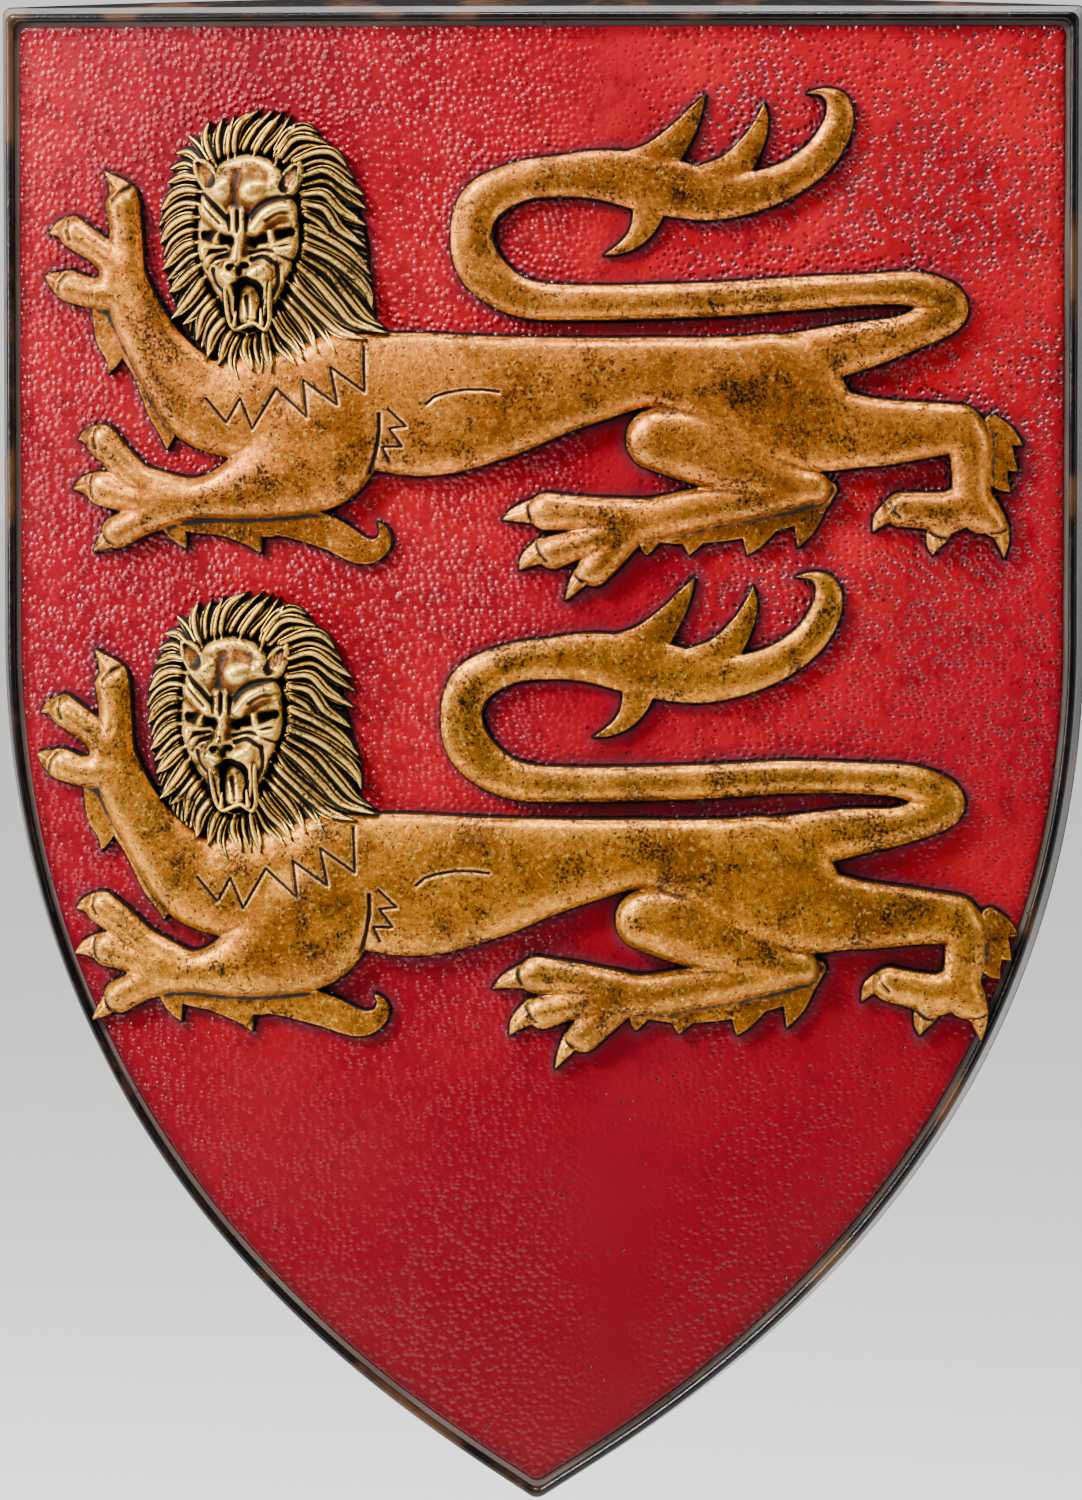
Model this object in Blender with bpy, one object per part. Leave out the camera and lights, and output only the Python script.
"""Heraldic wall shield: a hollow-backed cast plaque with two walking lions in relief.

Metres, +Z up. The front faces -Y, the flat back lies in the plane y = 0, and the origin is on the
back of the hanging boss, where the shield bears on the wall.
"""
import math

import bmesh
import bpy
import numpy as np

# Outline of the back edge, seen from the front
WIDTH = 0.3998
HANG_DROP = 0.075          # from the top edge down to the origin
SHOULDER_DROP = 0.2325     # where the straight sides end
TIP_DROP = 0.5524          # where the two curved sides would meet
SIDE_HANDLE = 0.2083       # pull of each curve at its shoulder
TIP_HANDLE = 0.0372        # pull of each curve at the tip, measured sideways
TIP_SLOPE = 0.70           # how steeply the curves meet
CORNER_RADIUS = 0.0032
TIP_RADIUS = 0.0045
TOP_BOW = 0.0037           # how far the back's top edge rises at its middle
SIDE_STEPS = 22
CURVE_STEPS = 240          # for measuring along a side's curve
ARC_STEPS = 4

# Depths, from the back plane towards the front
FIELD_DEPTH = 0.0090       # of the field at the two sides
BULGE = 0.0150             # how much further the field stands out along its middle
WALL_FLARE = 0.0024        # how far the wall leans out towards the back
SLICES = 20                # flat strips that make up the curved front

# Rim
BEAD_WIDTH = 0.0033
BEAD_RISE = 0.0030         # above the field
BEAD_FOOT = 0.0008         # where the bead's outer side starts, above the field
BEAD_STEPS = 4
GROOVE_WIDTH = 0.0015
GROOVE_DEPTH = 0.0008
GROOVE_LIP = 0.0006

# Hollow back
CAST_WALL = 0.0070
FLANGE_WIDTH = 0.0120

# Hanging boss and its keyhole
BOSS_WIDTH = 0.0600
BOSS_ABOVE = 0.0140        # above the origin
BOSS_BELOW = 0.0340        # below the origin
BOSS_ROOT = 0.0020         # how far the boss runs into the cast wall
BOSS_CORNER = 0.0060
KEY_TOP = 0.0060           # from the origin down to the top of the slot
KEY_HEAD_RADIUS = 0.0055
KEY_SLOT_RADIUS = 0.0025
KEY_TRAVEL = 0.0130        # from the slot's resting place down to the entry hole
KEY_LIP = 0.0030           # thickness of the lip that a nail's head hooks behind
KEY_DEPTH = 0.0120
KEY_SHOULDER = 0.0004      # how much smaller the entry hole is than the pocket behind it
KEY_SIDES = 20

# Lions
LION_LENGTH = 0.3602       # from the raised paw's claws to the hind leg's fringe
UPPER_LION_SHIFT = -0.0026  # from the shield's middle to the lion's
LOWER_LION_SHIFT = -0.0063
UPPER_LION_DROP = 0.0375   # from the top edge to the top of the mane
LOWER_LION_DROP = 0.2138
LION_GRID = 0.00105
LION_SINK = 0.0030         # how far a lion's foot runs into the field
LION_FACES = 2600
LION_MARGIN = 20.0         # of bare board left round the figure
OUTLINE_SNAP = 0.25        # a grid point nearer to the outline than this counts as on it
MILLIMETRE = 0.001

# A lion is drawn on a board. These are the board's own units, with y running down.
BOARD_LENGTH = 968.0
BOARD_LEFT = 44.0
BOARD_TOP = 112.0
BOARD_HIGH = 90.0
BOARD_LOW = 600.0
SPAN_STEPS = 6
FACE_CENTRE = (252.0, 238.0)
LION_SEED = 7

# Relief heights over the field, in millimetres: at the crown and at the outer edge
EDGE = 3.0
BLADE_EDGE = 3.8
BLADE = (4.6, 4.2)
CLAW = (6.0, 3.0)
TUFT = (6.0, 3.0)
SOFT = 0.8                 # how softly neighbouring forms run into each other
SOFT_FACE = 2.2
SOFT_ROOT = 3.0            # where the tail and the hind leg leave the body
CHEST_SHARE = 0.85         # how much of the chest's height the mane over it takes on
LOWEST = 1.5
BELOW = -50.0              # where no form is raised yet
FAR = 1000.0               # as far off as no place on the board is
WINDOW_MARGIN = 12.0       # bare board worked out round each form

# How far the mane reaches round the face, by direction in degrees, clockwise from the right
MANE_DIRECTIONS = (-180, -140, -110, -85, -45, -10, 20, 34, 50, 70, 92, 115, 135, 160, 180)
MANE_REACHES = (91, 104, 118, 127, 121, 119, 134, 162, 146, 134, 137, 122, 112, 92, 91)
MANE_FILL = 0.90           # share of that reach that is solid hair, with only lock tips outside it
MANE_HEIGHT = 8.0

# The lower lion is the same figure, posed to suit the narrower part of the shield:
# centre of each change on the board, its reach, and the shift there
LOWER_POSE = (
    ((115, 490), 75, (14, -17)),
    ((555, 540), 75, (0, -20)),
    ((990, 430), 70, (8, 10)),
    ((990, 545), 45, (-12, 4)),
    ((865, 515), 40, (0, -12)),
    ((940, 300), 95, (8, 13)),
    ((252, 238), 110, (-8, 1)),
    ((380, 535), 45, (7, -8)),
)


def clear_scene():
    for thing in list(bpy.data.objects):
        bpy.data.objects.remove(thing, do_unlink=True)


def material(name, colour, roughness, metallic):
    made = bpy.data.materials.new(name)
    made.use_nodes = True
    shader = made.node_tree.nodes["Principled BSDF"]
    shader.inputs["Base Color"].default_value = (*colour, 1.0)
    shader.inputs["Roughness"].default_value = roughness
    shader.inputs["Metallic"].default_value = metallic
    return made


def finish_object(name, bm):
    bmesh.ops.recalc_face_normals(bm, faces=bm.faces)
    mesh = bpy.data.meshes.new(name)
    bm.to_mesh(mesh)
    bm.free()
    thing = bpy.data.objects.new(name, mesh)
    bpy.context.scene.collection.objects.link(thing)
    return thing


def hide_cutter(thing):
    thing.hide_render = True
    thing.display_type = "WIRE"


def combine(body, other, operation):
    step = body.modifiers.new(other.name, "BOOLEAN")
    step.operation = operation
    step.solver = "EXACT"
    step.object = other
    hide_cutter(other)


# The shield's outline

def arc(centre, radius, start, end, steps):
    turns = np.radians(np.linspace(start, end, steps + 1))
    return [(centre[0] + radius * math.cos(t), centre[1] + radius * math.sin(t)) for t in turns]


def side_curve(half_width, inset):
    """Points of one curved side, moved inwards by the inset, from the shoulder to the middle.

    It runs a little past the middle before it is cut there, so an inset of nothing works too.
    """
    t = np.linspace(0.0, 1.0, CURVE_STEPS)[:, None]
    ends = np.array([
        (half_width, HANG_DROP - SHOULDER_DROP),
        (half_width, HANG_DROP - SHOULDER_DROP - SIDE_HANDLE),
        (TIP_HANDLE, HANG_DROP - TIP_DROP + TIP_SLOPE * TIP_HANDLE),
        (0.0, HANG_DROP - TIP_DROP),
    ])
    curve = ((1 - t) ** 3 * ends[0] + 3 * (1 - t) ** 2 * t * ends[1]
             + 3 * (1 - t) * t ** 2 * ends[2] + t ** 3 * ends[3])
    along = np.gradient(curve, axis=0)
    along /= np.linalg.norm(along, axis=1, keepdims=True)
    inwards = np.stack([along[:, 1], -along[:, 0]], axis=1)
    moved = np.vstack([curve, 2 * curve[-1] - curve[-2]])
    moved += np.vstack([inwards, inwards[-1:]]) * inset
    crossing = np.argmax(moved[:, 0] <= 0.0)
    share = moved[crossing - 1, 0] / (moved[crossing - 1, 0] - moved[crossing, 0])
    middle = moved[crossing - 1] + share * (moved[crossing] - moved[crossing - 1])
    return np.vstack([moved[:crossing], middle])


def outline(inset):
    """The heater outline moved inwards, clockwise from the top right corner: (x, z) points."""
    half_width = WIDTH / 2
    top = HANG_DROP - inset
    centre = (half_width - inset - CORNER_RADIUS, top - CORNER_RADIUS)
    right = arc(centre, CORNER_RADIUS, 90, 0, ARC_STEPS)
    curve = side_curve(half_width, inset)
    step = np.linalg.norm(np.diff(curve, axis=0), axis=1)
    along = np.concatenate([[0.0], np.cumsum(step)])
    slope = math.atan2(curve[-2, 1] - curve[-1, 1], curve[-2, 0] - curve[-1, 0])
    tangent = TIP_RADIUS * math.tan(slope)
    stations = np.linspace(0.0, along[-1] - tangent, SIDE_STEPS + 1)
    right += [(np.interp(s, along, curve[:, 0]), np.interp(s, along, curve[:, 1])) for s in stations]
    tip_centre = (0.0, curve[-1, 1] + TIP_RADIUS / math.cos(slope))
    start = math.degrees(slope) - 90
    right += arc(tip_centre, TIP_RADIUS, start, -90, ARC_STEPS)[1:]
    left = [(-x, z) for x, z in reversed(right[:-1])]
    return right + left


def bulge_at(x):
    return BULGE * (1 - (2 * x / WIDTH) ** 2)


def slice_upright(bm):
    """Cut a flat blank along upright lines, so that it can follow the curved front."""
    for k in range(1, SLICES):
        x = WIDTH * (k / SLICES - 0.5)
        geometry = bm.verts[:] + bm.edges[:] + bm.faces[:]
        bmesh.ops.bisect_plane(bm, geom=geometry, dist=1e-7, plane_co=(x, 0, 0), plane_no=(1, 0, 0))


def loft(rings):
    """A closed solid through rings of the same number of points, (inset, depth) each."""
    bm = bmesh.new()
    loops = [[bm.verts.new((x, -depth, z)) for x, z in outline(inset)] for inset, depth in rings]
    count = len(loops[0])
    for lower, upper in zip(loops, loops[1:]):
        for k in range(count):
            after = (k + 1) % count
            bm.faces.new((lower[k], lower[after], upper[after], upper[k]))
    bm.faces.new(loops[0])
    bm.faces.new(loops[-1])
    return bm


def rim_rings():
    """Stations from the back edge over the bead and the groove to the field."""
    rings = [(0.0, 0.0), (WALL_FLARE, FIELD_DEPTH + BEAD_FOOT)]
    half = BEAD_WIDTH / 2
    for k in range(1, BEAD_STEPS + 1):
        turn = math.pi * k / (BEAD_STEPS + 1)
        rise = BEAD_FOOT + (BEAD_RISE - BEAD_FOOT) * math.sin(turn)
        rings.append((WALL_FLARE + half - half * math.cos(turn), FIELD_DEPTH + rise))
    inner = WALL_FLARE + BEAD_WIDTH
    rings.append((inner, FIELD_DEPTH - GROOVE_DEPTH))
    rings.append((inner + GROOVE_WIDTH, FIELD_DEPTH - GROOVE_DEPTH))
    rings.append((inner + GROOVE_WIDTH + GROOVE_LIP, FIELD_DEPTH))
    return rings


def make_blank():
    """The solid shield: flared wall, bead, groove and field, bent about an upright axis."""
    bm = loft(rim_rings())
    slice_upright(bm)
    for vert in bm.verts:
        share = min(1.0, -vert.co.y / FIELD_DEPTH)
        vert.co.y -= bulge_at(vert.co.x) * share
        if share < 1e-6 and vert.co.z > HANG_DROP - CORNER_RADIUS * 0.01:
            vert.co.z += TOP_BOW * (1 - (2 * vert.co.x / WIDTH) ** 2)
    return finish_object("shield", bm)


def make_hollow():
    """What is taken out of the back: everything inside the flange, down to the cast wall."""
    bm = loft([(FLANGE_WIDTH, -CAST_WALL), (FLANGE_WIDTH, FIELD_DEPTH - CAST_WALL)])
    slice_upright(bm)
    for vert in bm.verts:
        if vert.co.y < 0:
            vert.co.y -= bulge_at(vert.co.x)
    return finish_object("hollow", bm)


# The hanging boss

def plate(name, points, back, front):
    """A flat outline of (x, z) points made into a solid between two depths."""
    bm = bmesh.new()
    outline_face = bm.faces.new([bm.verts.new((x, -back, z)) for x, z in points])
    grown = bmesh.ops.extrude_face_region(bm, geom=[outline_face])["geom"]
    verts = [item for item in grown if isinstance(item, bmesh.types.BMVert)]
    bmesh.ops.translate(bm, verts=verts, vec=(0, back - front, 0))
    return finish_object(name, bm)


def make_boss():
    """The block that fills the hollow behind the keyhole, flush with the back plane."""
    half = BOSS_WIDTH / 2 - BOSS_CORNER
    top = BOSS_ABOVE - BOSS_CORNER
    bottom = BOSS_CORNER - BOSS_BELOW
    points = arc((half, top), BOSS_CORNER, 90, 0, ARC_STEPS)
    points += arc((half, bottom), BOSS_CORNER, 0, -90, ARC_STEPS)
    points += arc((-half, bottom), BOSS_CORNER, -90, -180, ARC_STEPS)
    points += arc((-half, top), BOSS_CORNER, 180, 90, ARC_STEPS)
    front = FIELD_DEPTH + bulge_at(BOSS_WIDTH / 2) - CAST_WALL + BOSS_ROOT
    return plate("boss", points, 0.0, front)


def make_keyhole():
    """A pocket for a nail's head behind a lip, with a narrow slot and an entry hole through the lip."""
    rest = -KEY_TOP - KEY_HEAD_RADIUS
    entry = rest - KEY_TRAVEL
    half = KEY_SIDES // 2
    through = -KEY_LIP
    inside = KEY_LIP * 1.5
    pocket = arc((0.0, rest), KEY_HEAD_RADIUS, 180, 0, half)
    pocket += arc((0.0, entry), KEY_HEAD_RADIUS, 0, -180, half)
    slot = arc((0.0, rest), KEY_SLOT_RADIUS, 180, 0, half)
    slot += arc((0.0, entry), KEY_SLOT_RADIUS, 0, -180, half)
    hole = arc((0.0, entry), KEY_HEAD_RADIUS - KEY_SHOULDER, 0, 360, KEY_SIDES)[:-1]
    return [
        plate("pocket", pocket, KEY_LIP, KEY_DEPTH),
        plate("slot", slot, through, inside),
        plate("entry", hole, through, inside),
    ]


# The lion's drawing: every form is a stroke of points (x, y, half width) on the board

def stroke(crown, edge, *points, soft=SOFT, square=2.0):
    """A raised form: its crown may change from the stroke's start to its end."""
    first, last = crown if isinstance(crown, tuple) else (crown, crown)
    return {"crown": (first, last), "edge": edge, "points": points, "soft": soft, "square": square}


def tail():
    return [
        stroke((8.5, 6.5), EDGE, (765, 366, 30), (845, 347, 25), (900, 332, 19), (937, 309, 22),
               (908, 290, 18), (860, 290, 16), (791, 294, 17), (704, 300, 17.5), (574, 303, 18),
               (518, 297, 20), (481, 270, 23), (471, 234, 21), (483, 203, 22), (520, 184, 20),
               (560, 179, 21), (600, 178, 25), (650, 187, 29), (700, 197, 26), (740, 196, 21),
               (780, 183, 18), (812, 160, 17), (830, 131, 15.5), (831, 109, 12), (818, 97.5, 5),
               (799, 98, 0.6), soft=SOFT_ROOT),
        stroke(TUFT, EDGE, (612, 180, 22), (650, 166, 20), (676, 139, 13), (690, 118, 7.5),
               (701, 99, 0.6)),
        stroke(TUFT, EDGE, (692, 190, 20), (726, 174, 17), (747, 147, 11.5), (756, 126, 7),
               (758, 107, 0.6)),
        stroke(TUFT, EDGE, (648, 196, 20), (643, 222, 14), (633, 239, 9.5), (618, 250, 5.5),
               (601, 256.5, 0.6)),
    ]


def trunk():
    return [
        stroke(11.0, EDGE, (340, 395, 62), (420, 403, 71), (487, 397, 62), (540, 387, 51),
               (596, 377.5, 41), (649, 371, 35), (705, 379, 43), (740, 390, 55), (768, 396, 64),
               soft=SOFT_ROOT, square=3.0),
        stroke((11.0, 9.5), EDGE, (750, 393, 58), (775, 402, 64), (812, 424, 45), (850, 429, 36),
               (876, 430, 33), (912, 428, 28.5), (950, 426, 24), soft=SOFT_ROOT,
               square=3.0),
    ]


def claw(*points):
    return stroke(CLAW, 2.0, *points)


def far_hind_leg():
    return [
        stroke((9.5, 9.0), EDGE, (950, 426, 24), (960, 440, 23), (962, 470, 20), (963, 495, 20),
               (972, 510, 20)),
        stroke(9.0, EDGE, (962, 497, 21), (940, 507, 20), (905, 506, 18), (893, 506, 17.5)),
        stroke((8.0, 7.5), EDGE, (945, 508, 20), (932, 518, 15)),
        stroke((9.0, 8.0), EDGE, (965, 498, 19), (980, 515, 15), (986, 522, 12)),
        claw((889, 503, 12), (874, 514, 8), (865, 528, 0.6)),
        claw((930, 528, 13), (925, 540, 7), (924, 551, 0.6)),
        claw((989, 524, 10.5), (993, 538, 6.5), (994, 554, 0.6)),
    ]


def near_hind_leg():
    return [
        stroke((12.5, 10.0), EDGE, (654, 436.5, 31), (690, 444, 36), (735, 462, 30), (785, 480, 20),
               (808, 484, 17), square=2.4),
        stroke((9.5, 9.0), EDGE, (808, 484, 17), (760, 494, 19), (700, 504, 21), (650, 515, 21.5),
               (615, 518, 24)),
        stroke((9.0, 8.0), EDGE, (620, 514, 20), (590, 510, 17), (546, 508, 19)),
        stroke((9.0, 8.0), EDGE, (620, 525, 20), (585, 537, 15), (552, 548, 17)),
        stroke((9.0, 8.0), EDGE, (622, 530, 19), (605, 550, 18), (592, 565, 17)),
        claw((532, 508, 12.5), (515, 511, 7.5), (501, 516.5, 0.6)),
        claw((542, 546, 13), (527, 555, 8), (518, 566, 0.6)),
        claw((580, 571, 10), (571, 584, 6), (563.5, 596, 0.6)),
    ]


def raised_foreleg():
    return [
        stroke((11.0, 9.5), EDGE, (290, 405, 60), (215, 405, 46), (182, 380, 36), (157, 347, 29),
               (138, 314, 26), (124, 280, 24), (124, 265, 22), square=2.4),
        stroke((9.5, 8.5), EDGE, (126, 265, 20), (127, 235, 17), (124, 208, 18)),
        stroke((9.5, 8.5), EDGE, (118, 265, 18), (98, 250, 15), (75, 235, 16)),
        stroke((9.5, 8.5), EDGE, (122, 292, 22), (95, 294, 16), (70, 287, 16.5)),
        claw((125, 198, 14.5), (116, 186, 8), (104.5, 172.5, 0.6)),
        claw((73, 230, 13), (60, 231, 8), (48.5, 236, 0.6)),
        claw((64, 286, 13), (54, 281, 8), (44.5, 277, 0.6)),
    ]


def lower_foreleg():
    return [
        stroke((13.0, 10.0), EDGE, (318, 430, 62), (312, 442, 67), (280, 468, 47), (240, 487, 30),
               (200, 496, 21), (160, 498, 28), square=2.4),
        stroke((9.5, 8.5), EDGE, (165, 490, 20), (140, 478, 16), (121, 460, 16), (102, 440, 17)),
        stroke((9.5, 8.5), EDGE, (160, 498, 22), (125, 494, 16.5), (103, 487, 18)),
        stroke((9.5, 8.5), EDGE, (160, 506, 22), (140, 518, 17), (118, 530, 17)),
        claw((99, 436, 13), (88, 436, 8), (77, 439, 0.6)),
        claw((95, 484, 14), (83, 484, 8), (72, 488, 0.6)),
        claw((110, 535, 10.5), (101, 543, 6.5), (92.5, 550, 0.6)),
    ]


def fringes():
    """Flat pointed blades of hair behind the legs."""
    blades = [
        ((105, 300, 14), (111, 335, 16), (114, 356, 9), (109, 374.5, 0.6)),
        ((128, 340, 14), (147, 372, 14), (161, 408, 14), (168, 430, 9), (167.5, 449, 0.6)),
        ((165, 515, 8), (176, 528, 10), (187.5, 546.5, 0.6)),
        ((158, 512, 6), (190, 518, 12), (230, 518, 15), (270, 520, 15)),
        ((175, 512, 12), (225, 520, 14), (250, 532, 11), (262.5, 551, 0.6)),
        ((230, 515, 12), (290, 518, 17), (330, 530, 17), (362, 547, 14), (381, 543, 9.5),
         (385, 530, 6), (378, 518, 0.6)),
        ((636, 530, 8), (690, 522, 18), (750, 511, 21), (800, 498, 18), (822, 486, 9)),
        ((650, 528, 12), (645, 540, 8), (644, 551, 0.6)),
        ((650, 525, 14), (700, 520, 12), (690, 532, 12), (685.5, 551, 0.6)),
        ((720, 508, 18), (760, 510, 16), (751, 530, 13), (742.5, 551, 0.6)),
        ((806, 498, 16), (800, 520, 11.5), (792, 543.5, 0.6)),
        ((982, 420, 8), (994, 430, 9), (1003, 437, 6), (1012, 443, 0.6)),
        ((985, 430, 14), (993, 453, 11), (1008, 470, 0.6)),
        ((985, 450, 14), (988, 475, 10), (1001, 489.5, 0.6)),
    ]
    return [stroke(BLADE, BLADE_EDGE, *points) for points in blades]


def mane_reach(direction):
    wrapped = (direction + 180) % 360 - 180
    return np.interp(wrapped, MANE_DIRECTIONS, MANE_REACHES)


def lock(direction, start, end, half_width, crown, bend, sway):
    """One curling lock that runs outwards from the face and droops towards its tip."""
    points = []
    for t in (0.0, 0.2, 0.45, 0.7, 0.88, 1.0):
        turn = math.radians(direction + bend * t * t + sway * math.sin(5.0 * t))
        reach = start + (end - start) * t
        swell = 0.6 + 0.4 * math.sin(math.pi * min(1.0, t * 1.5 + 0.1))
        width = max(0.6, half_width * swell * (1 - t ** 2.2))
        points.append((FACE_CENTRE[0] + reach * math.cos(turn),
                       FACE_CENTRE[1] + reach * math.sin(turn), width))
    return stroke(crown, 2.5, *points, soft=0.3)


def mane():
    """Three tiers of locks, the inner ones higher and shorter."""
    chance = np.random.default_rng(LION_SEED)
    tiers = ((28, 0.55, 1.00, 11.5, (9.0, 5.0)), (24, 0.45, 0.84, 10.5, (11.0, 8.0)),
             (19, 0.38, 0.68, 10.0, (12.5, 10.0)))
    locks = []
    for row, (count, inner, outer, half_width, crown) in enumerate(tiers):
        for k in range(count):
            direction = -180 + 360 * (k + 0.5 * (row % 2) + 0.25 * chance.random()) / count
            down = max(-1.0, min(1.0, ((270 - direction) % 360 - 180) / 90))
            bend = 10 * down
            reach = mane_reach(direction + bend)
            end = reach * outer * (1 - 0.06 * chance.random())
            width = half_width * (0.85 + 0.3 * chance.random()) * reach / 120
            sway = chance.uniform(-2.5, 2.5)
            locks.append(lock(direction, mane_reach(direction) * inner, end, width, crown, bend, sway))
    return locks


def face(crown, *points):
    return stroke(crown, 9.0, *points, soft=SOFT_FACE)


def head():
    """Mane, skull, brows, nose, muzzle, cheeks, jaw and ears."""
    parts = mane() + [
        stroke(13.5, 6.0, (250, 205, 42), (250, 235, 49), (250, 262, 42), (251, 300, 30),
               (251, 322, 21)),
        face(15.5, (219, 192, 14), (231, 186, 13)),
        face(15.5, (256, 193, 14), (280, 193, 13)),
        face(16.2, (205, 204, 6), (220, 214, 8), (232, 229, 6)),
        face(16.4, (300, 212, 8), (284, 213, 9), (267, 215, 8), (256, 229, 5)),
        face(16.2, (243, 204, 5), (243, 229, 5)),
        face(15.2, (208, 244, 9), (212, 256, 11)),
        face(15.4, (272, 248, 8), (292, 247, 12), (295, 254, 11)),
        face((16.0, 17.5), (244, 238, 8), (243, 252, 9), (244, 263, 11)),
        face(17.2, (236, 272, 9), (227, 276, 11)),
        face(17.2, (254, 274, 9), (267, 272, 11)),
        face(14.0, (229, 288, 6), (233, 312, 6), (241, 329, 6), (253, 326, 5.5), (264, 329, 6),
             (271, 312, 6), (276, 288, 6)),
        stroke((12.0, 13.0), 6.0, (199, 163, 4), (208, 172, 12), (213, 184, 10)),
        stroke((12.0, 13.0), 6.0, (303, 166, 4), (296, 178, 12), (292, 189, 9)),
    ]
    return parts


def sunk_forms():
    """What is cut into the lion: (depth in millimetres, points)."""
    return [
        (7.5, ((244, 291, 9), (252, 294, 14), (252, 308, 13), (252, 318, 9))),
        (2.4, ((207, 235, 4), (222, 232, 6), (236, 238, 5))),
        (2.4, ((257, 240, 5), (276, 231, 6), (294, 231, 4))),
        (2.0, ((236, 180, 3), (236, 212, 3))),
        (2.4, ((381, 412, 3), (380, 440, 3.5), (371, 470, 3))),
    ]


def tongue():
    return stroke((8.0, 9.5), 4.0, (253, 296, 6), (257, 308, 8), (256, 315, 7))


def smooth_path(points):
    """A rounded path through the points, with its widths."""
    given = np.array(points, dtype=float)
    if len(given) == 2:
        share = np.linspace(0, 1, SPAN_STEPS + 1)[:, None]
        return given[0] * (1 - share) + given[1] * share
    ends = np.vstack([2 * given[0] - given[1], given, 2 * given[-1] - given[-2]])
    t = np.linspace(0, 1, SPAN_STEPS, endpoint=False)[:, None]
    rows = []
    for a, b, c, d in zip(ends, ends[1:], ends[2:], ends[3:]):
        rows.append(0.5 * (2 * b + (c - a) * t + (2 * a - 5 * b + 4 * c - d) * t ** 2
                           + (3 * b - a - 3 * c + d) * t ** 3))
    return np.vstack(rows + [given[-1:]])


def posed(points, pose):
    """The points of a stroke, shifted by each change of pose that they lie near."""
    moved = []
    for x, y, width in points:
        shift_x = 0.0
        shift_y = 0.0
        for (centre_x, centre_y), reach, (along, down) in pose:
            near = math.exp(-((x - centre_x) ** 2 + (y - centre_y) ** 2) / reach ** 2)
            shift_x += along * near
            shift_y += down * near
        moved.append((x + shift_x, y + shift_y, width))
    return moved


def across(path, x, y):
    """Share of the half width that each place lies off the path, how far along, and how far out."""
    share = np.full(x.shape, FAR)
    along = np.zeros(x.shape)
    outside = np.full(x.shape, FAR)
    steps = np.linalg.norm(np.diff(path[:, :2], axis=0), axis=1)
    travelled = np.concatenate([[0.0], np.cumsum(steps)]) / steps.sum()
    for k in range(len(path) - 1):
        start, end = path[k], path[k + 1]
        run = end[:2] - start[:2]
        length = max(float(run @ run), 1e-9)
        t = np.clip(((x - start[0]) * run[0] + (y - start[1]) * run[1]) / length, 0, 1)
        away = np.hypot(x - start[0] - t * run[0], y - start[1] - t * run[1])
        width = start[2] + t * (end[2] - start[2])
        nearer = away / width < share
        share = np.where(nearer, away / width, share)
        along = np.where(nearer, travelled[k] + t * (travelled[k + 1] - travelled[k]), along)
        outside = np.minimum(outside, away - width)
    return share, along, outside


def window(path, board_x, board_y, margin):
    """The block of the board that a path can reach."""
    low = (path[:, :2] - path[:, 2:]).min(axis=0) - margin
    high = (path[:, :2] + path[:, 2:]).max(axis=0) + margin
    columns = np.where((board_x[0] >= low[0]) & (board_x[0] <= high[0]))[0]
    rows = np.where((board_y[:, 0] >= low[1]) & (board_y[:, 0] <= high[1]))[0]
    return np.s_[rows[0]:rows[-1] + 1, columns[0]:columns[-1] + 1]


def raise_forms(height, outside, board_x, board_y, strokes, pose):
    for form in strokes:
        path = smooth_path(posed(form["points"], pose))
        part = window(path, board_x, board_y, WINDOW_MARGIN)
        share, along, out = across(path, board_x[part], board_y[part])
        crown = form["crown"][0] + (form["crown"][1] - form["crown"][0]) * along
        power = form["square"]
        dome = np.clip(1 - share ** power, 0, 1) ** (1 / power)
        inside = share < 1
        new = np.where(inside, form["edge"] + (crown - form["edge"]) * dome, BELOW)
        old = height[part]
        near = np.clip(form["soft"] - np.abs(new - old), 0, None) / form["soft"]
        height[part] = np.maximum(new, old) + np.where(inside, near ** 2 * form["soft"] / 4, 0)
        outside[part] = np.minimum(outside[part], out)


def sink_forms(height, board_x, board_y, forms, pose):
    for depth, points in forms:
        path = smooth_path(posed(points, pose))
        part = window(path, board_x, board_y, 0)
        share = across(path, board_x[part], board_y[part])[0]
        height[part] -= depth * np.clip(1 - share ** 2, 0, 1)


def raise_mane_base(height, outside, board_x, board_y, pose):
    """The body of hair that fills the mane up to the tips of its locks."""
    centre = posed([(*FACE_CENTRE, 0.0)], pose)[0]
    along = board_x - centre[0]
    down = board_y - centre[1]
    reach = MANE_FILL * mane_reach(np.degrees(np.arctan2(down, along)))
    distance = np.hypot(along, down)
    dome = np.sqrt(np.clip(1 - (distance / reach) ** 2, 0, 1))
    base = np.where(distance < reach, EDGE + (MANE_HEIGHT - EDGE) * dome, BELOW)
    np.maximum(height, base, out=height)
    np.minimum(outside, distance - reach, out=outside)


def lion_relief(board_x, board_y, pose):
    """Height over the field in millimetres, and how far outside the figure each place lies."""
    height = np.full(board_x.shape, BELOW)
    outside = np.full(board_x.shape, FAR)
    figure = (tail() + trunk() + far_hind_leg() + near_hind_leg() + raised_foreleg()
              + fringes() + lower_foreleg())
    raise_forms(height, outside, board_x, board_y, figure, pose)
    chest = CHEST_SHARE * np.clip(height - EDGE, 0, None)
    hair = np.full(board_x.shape, BELOW)
    raise_mane_base(hair, outside, board_x, board_y, pose)
    raise_forms(hair, outside, board_x, board_y, head(), pose)
    height = np.maximum(height, hair + chest)
    sink_forms(height, board_x, board_y, sunk_forms(), pose)
    raise_forms(height, outside, board_x, board_y, [tongue()], pose)
    return np.maximum(height, LOWEST), outside


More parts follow.
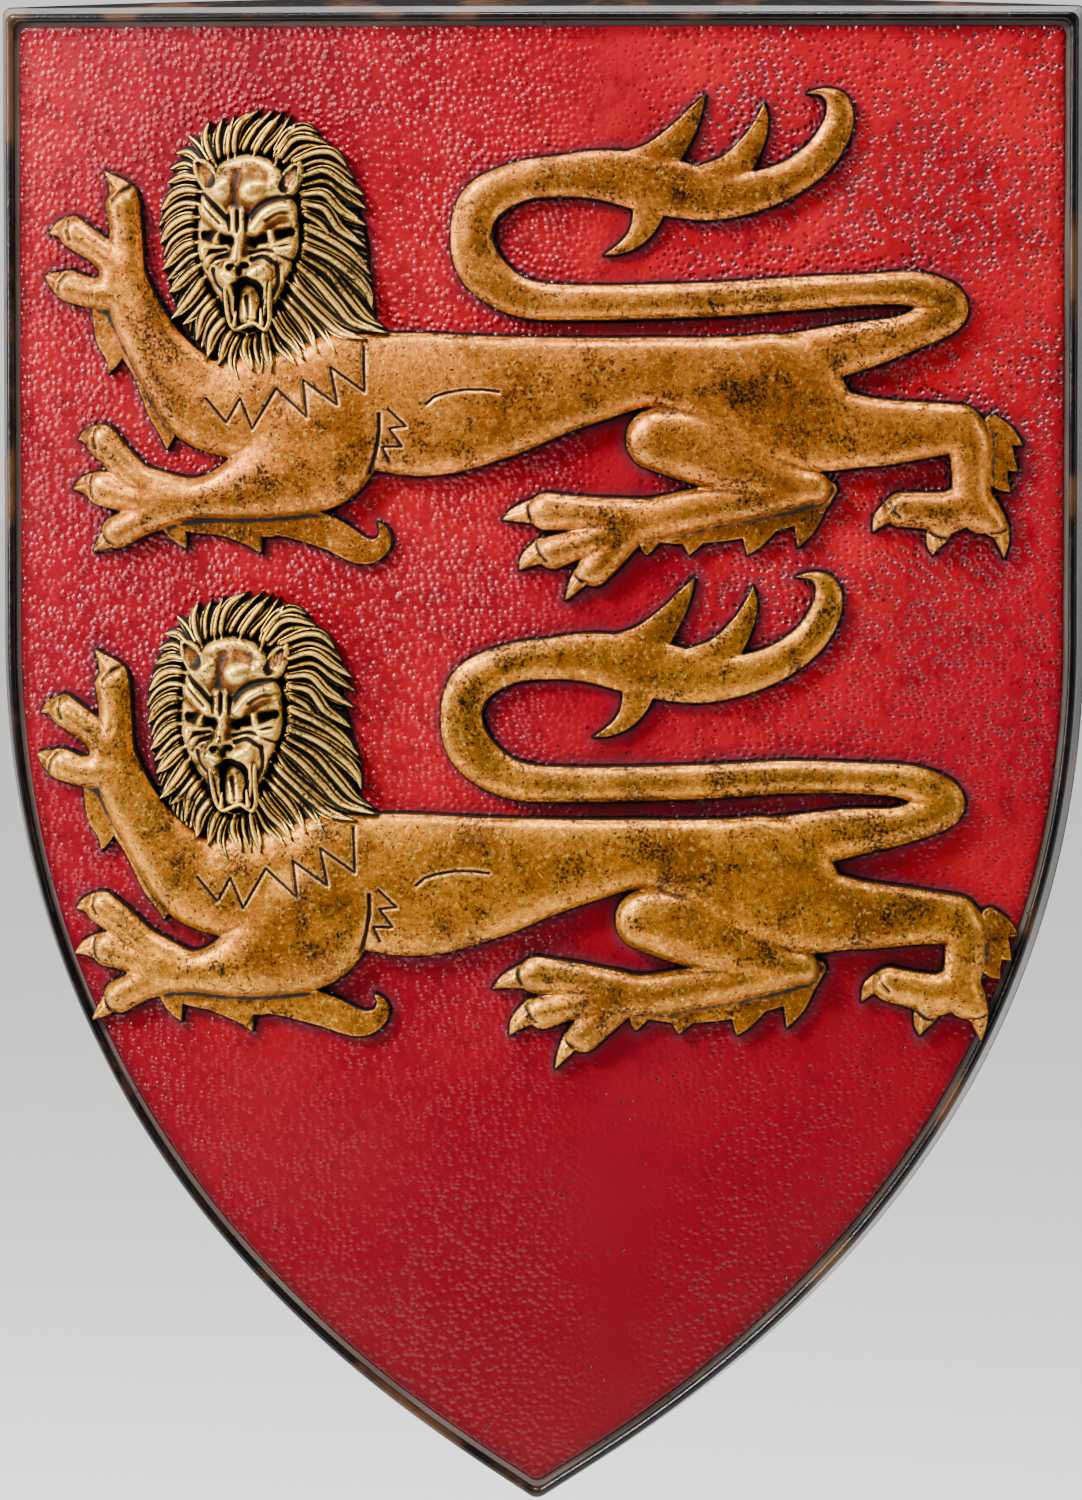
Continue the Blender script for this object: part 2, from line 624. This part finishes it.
def find_islands(bm):
    """The separate patches of faces, the largest first."""
    seen = set()
    islands = []
    for start in bm.faces:
        island = []
        waiting = [start]
        while waiting:
            current = waiting.pop()
            if current in seen:
                continue
            seen.add(current)
            island.append(current)
            for edge in current.edges:
                waiting.extend(edge.link_faces)
        islands.append(island)
    return sorted(islands, key=len, reverse=True)


def cut_to_outline(bm, outside):
    """Cut the grid along the figure's outline, and leave only what is inside it."""
    values = {}
    for vert in bm.verts:
        value = float(outside[vert.index])
        values[vert] = 0.0 if abs(value) < OUTLINE_SNAP else value
    crossings = [edge for edge in bm.edges
                 if values[edge.verts[0]] * values[edge.verts[1]] < 0]
    for edge in crossings:
        first, second = edge.verts
        share = values[first] / (values[first] - values[second])
        new_vert = bmesh.utils.edge_split(edge, first, share)[1]
        values[new_vert] = 0.0
    rim = [vert for vert, value in values.items() if value == 0.0]
    bmesh.ops.connect_verts(bm, verts=rim, check_degenerate=False)
    doomed = [f for f in bm.faces if sum(values[v] for v in f.verts) >= 0]
    bmesh.ops.delete(bm, geom=doomed, context="FACES")
    pinched = True
    while pinched:
        pinched = [v for v in bm.verts if sum(edge.is_boundary for edge in v.link_edges) > 2]
        doomed = dict.fromkeys(f for v in pinched for f in v.link_faces)
        bmesh.ops.delete(bm, geom=list(doomed), context="FACES")
    islands = find_islands(bm)
    doomed = [f for island in islands[1:] for f in island]
    bmesh.ops.delete(bm, geom=doomed, context="FACES")


def make_lion(name, shift, drop, pose):
    """One lion as a closed solid whose foot runs into the field."""
    unit = LION_LENGTH / BOARD_LENGTH
    left = shift - LION_LENGTH / 2 - BOARD_LEFT * unit
    top = HANG_DROP - drop + BOARD_TOP * unit
    wide = (BOARD_LENGTH + 2 * LION_MARGIN) * unit
    tall = (BOARD_LOW - BOARD_HIGH + 2 * LION_MARGIN) * unit
    columns = round(wide / LION_GRID)
    rows = round(tall / LION_GRID)
    bm = bmesh.new()
    bmesh.ops.create_grid(bm, x_segments=columns, y_segments=rows, size=0.5)
    bm.verts.ensure_lookup_table()
    bm.verts.index_update()
    flat = np.array([vert.co[:2] for vert in bm.verts])
    board_x = BOARD_LEFT - LION_MARGIN + (flat[:, 0] + 0.5) * wide / unit
    board_y = BOARD_HIGH - LION_MARGIN + (0.5 - flat[:, 1]) * tall / unit
    shape = (rows + 1, columns + 1)
    height, outside = lion_relief(board_x.reshape(shape), board_y.reshape(shape), pose)
    height = height.ravel()
    for k, vert in enumerate(bm.verts):
        vert.co = (left + board_x[k] * unit, -height[k] * MILLIMETRE, top - board_y[k] * unit)
    cut_to_outline(bm, outside.ravel())
    loose = [vert for vert in bm.verts if not vert.link_faces]
    bmesh.ops.delete(bm, geom=loose, context="VERTS")
    surface = bm.faces[:]
    grown = bmesh.ops.extrude_face_region(bm, geom=surface, use_keep_orig=True)["geom"]
    foot = [item for item in grown if isinstance(item, bmesh.types.BMVert)]
    for vert in foot:
        vert.co.y = LION_SINK
    for vert in bm.verts:
        vert.co.y -= FIELD_DEPTH + bulge_at(vert.co.x)
    bmesh.ops.triangulate(bm, faces=bm.faces)
    count = len(bm.faces)
    lion = finish_object(name, bm)
    thin = lion.modifiers.new("fewer faces", "DECIMATE")
    thin.ratio = LION_FACES / count
    return lion


def main():
    clear_scene()
    shield = make_blank()
    shield.data.materials.append(material("painted cast resin", (0.42, 0.02, 0.03), 0.45, 0.0))
    combine(shield, make_hollow(), "DIFFERENCE")
    combine(shield, make_boss(), "UNION")
    for cutter in make_keyhole():
        combine(shield, cutter, "DIFFERENCE")
    combine(shield, make_lion("upper_lion", UPPER_LION_SHIFT, UPPER_LION_DROP, ()), "UNION")
    combine(shield, make_lion("lower_lion", LOWER_LION_SHIFT, LOWER_LION_DROP, LOWER_POSE), "UNION")


main()
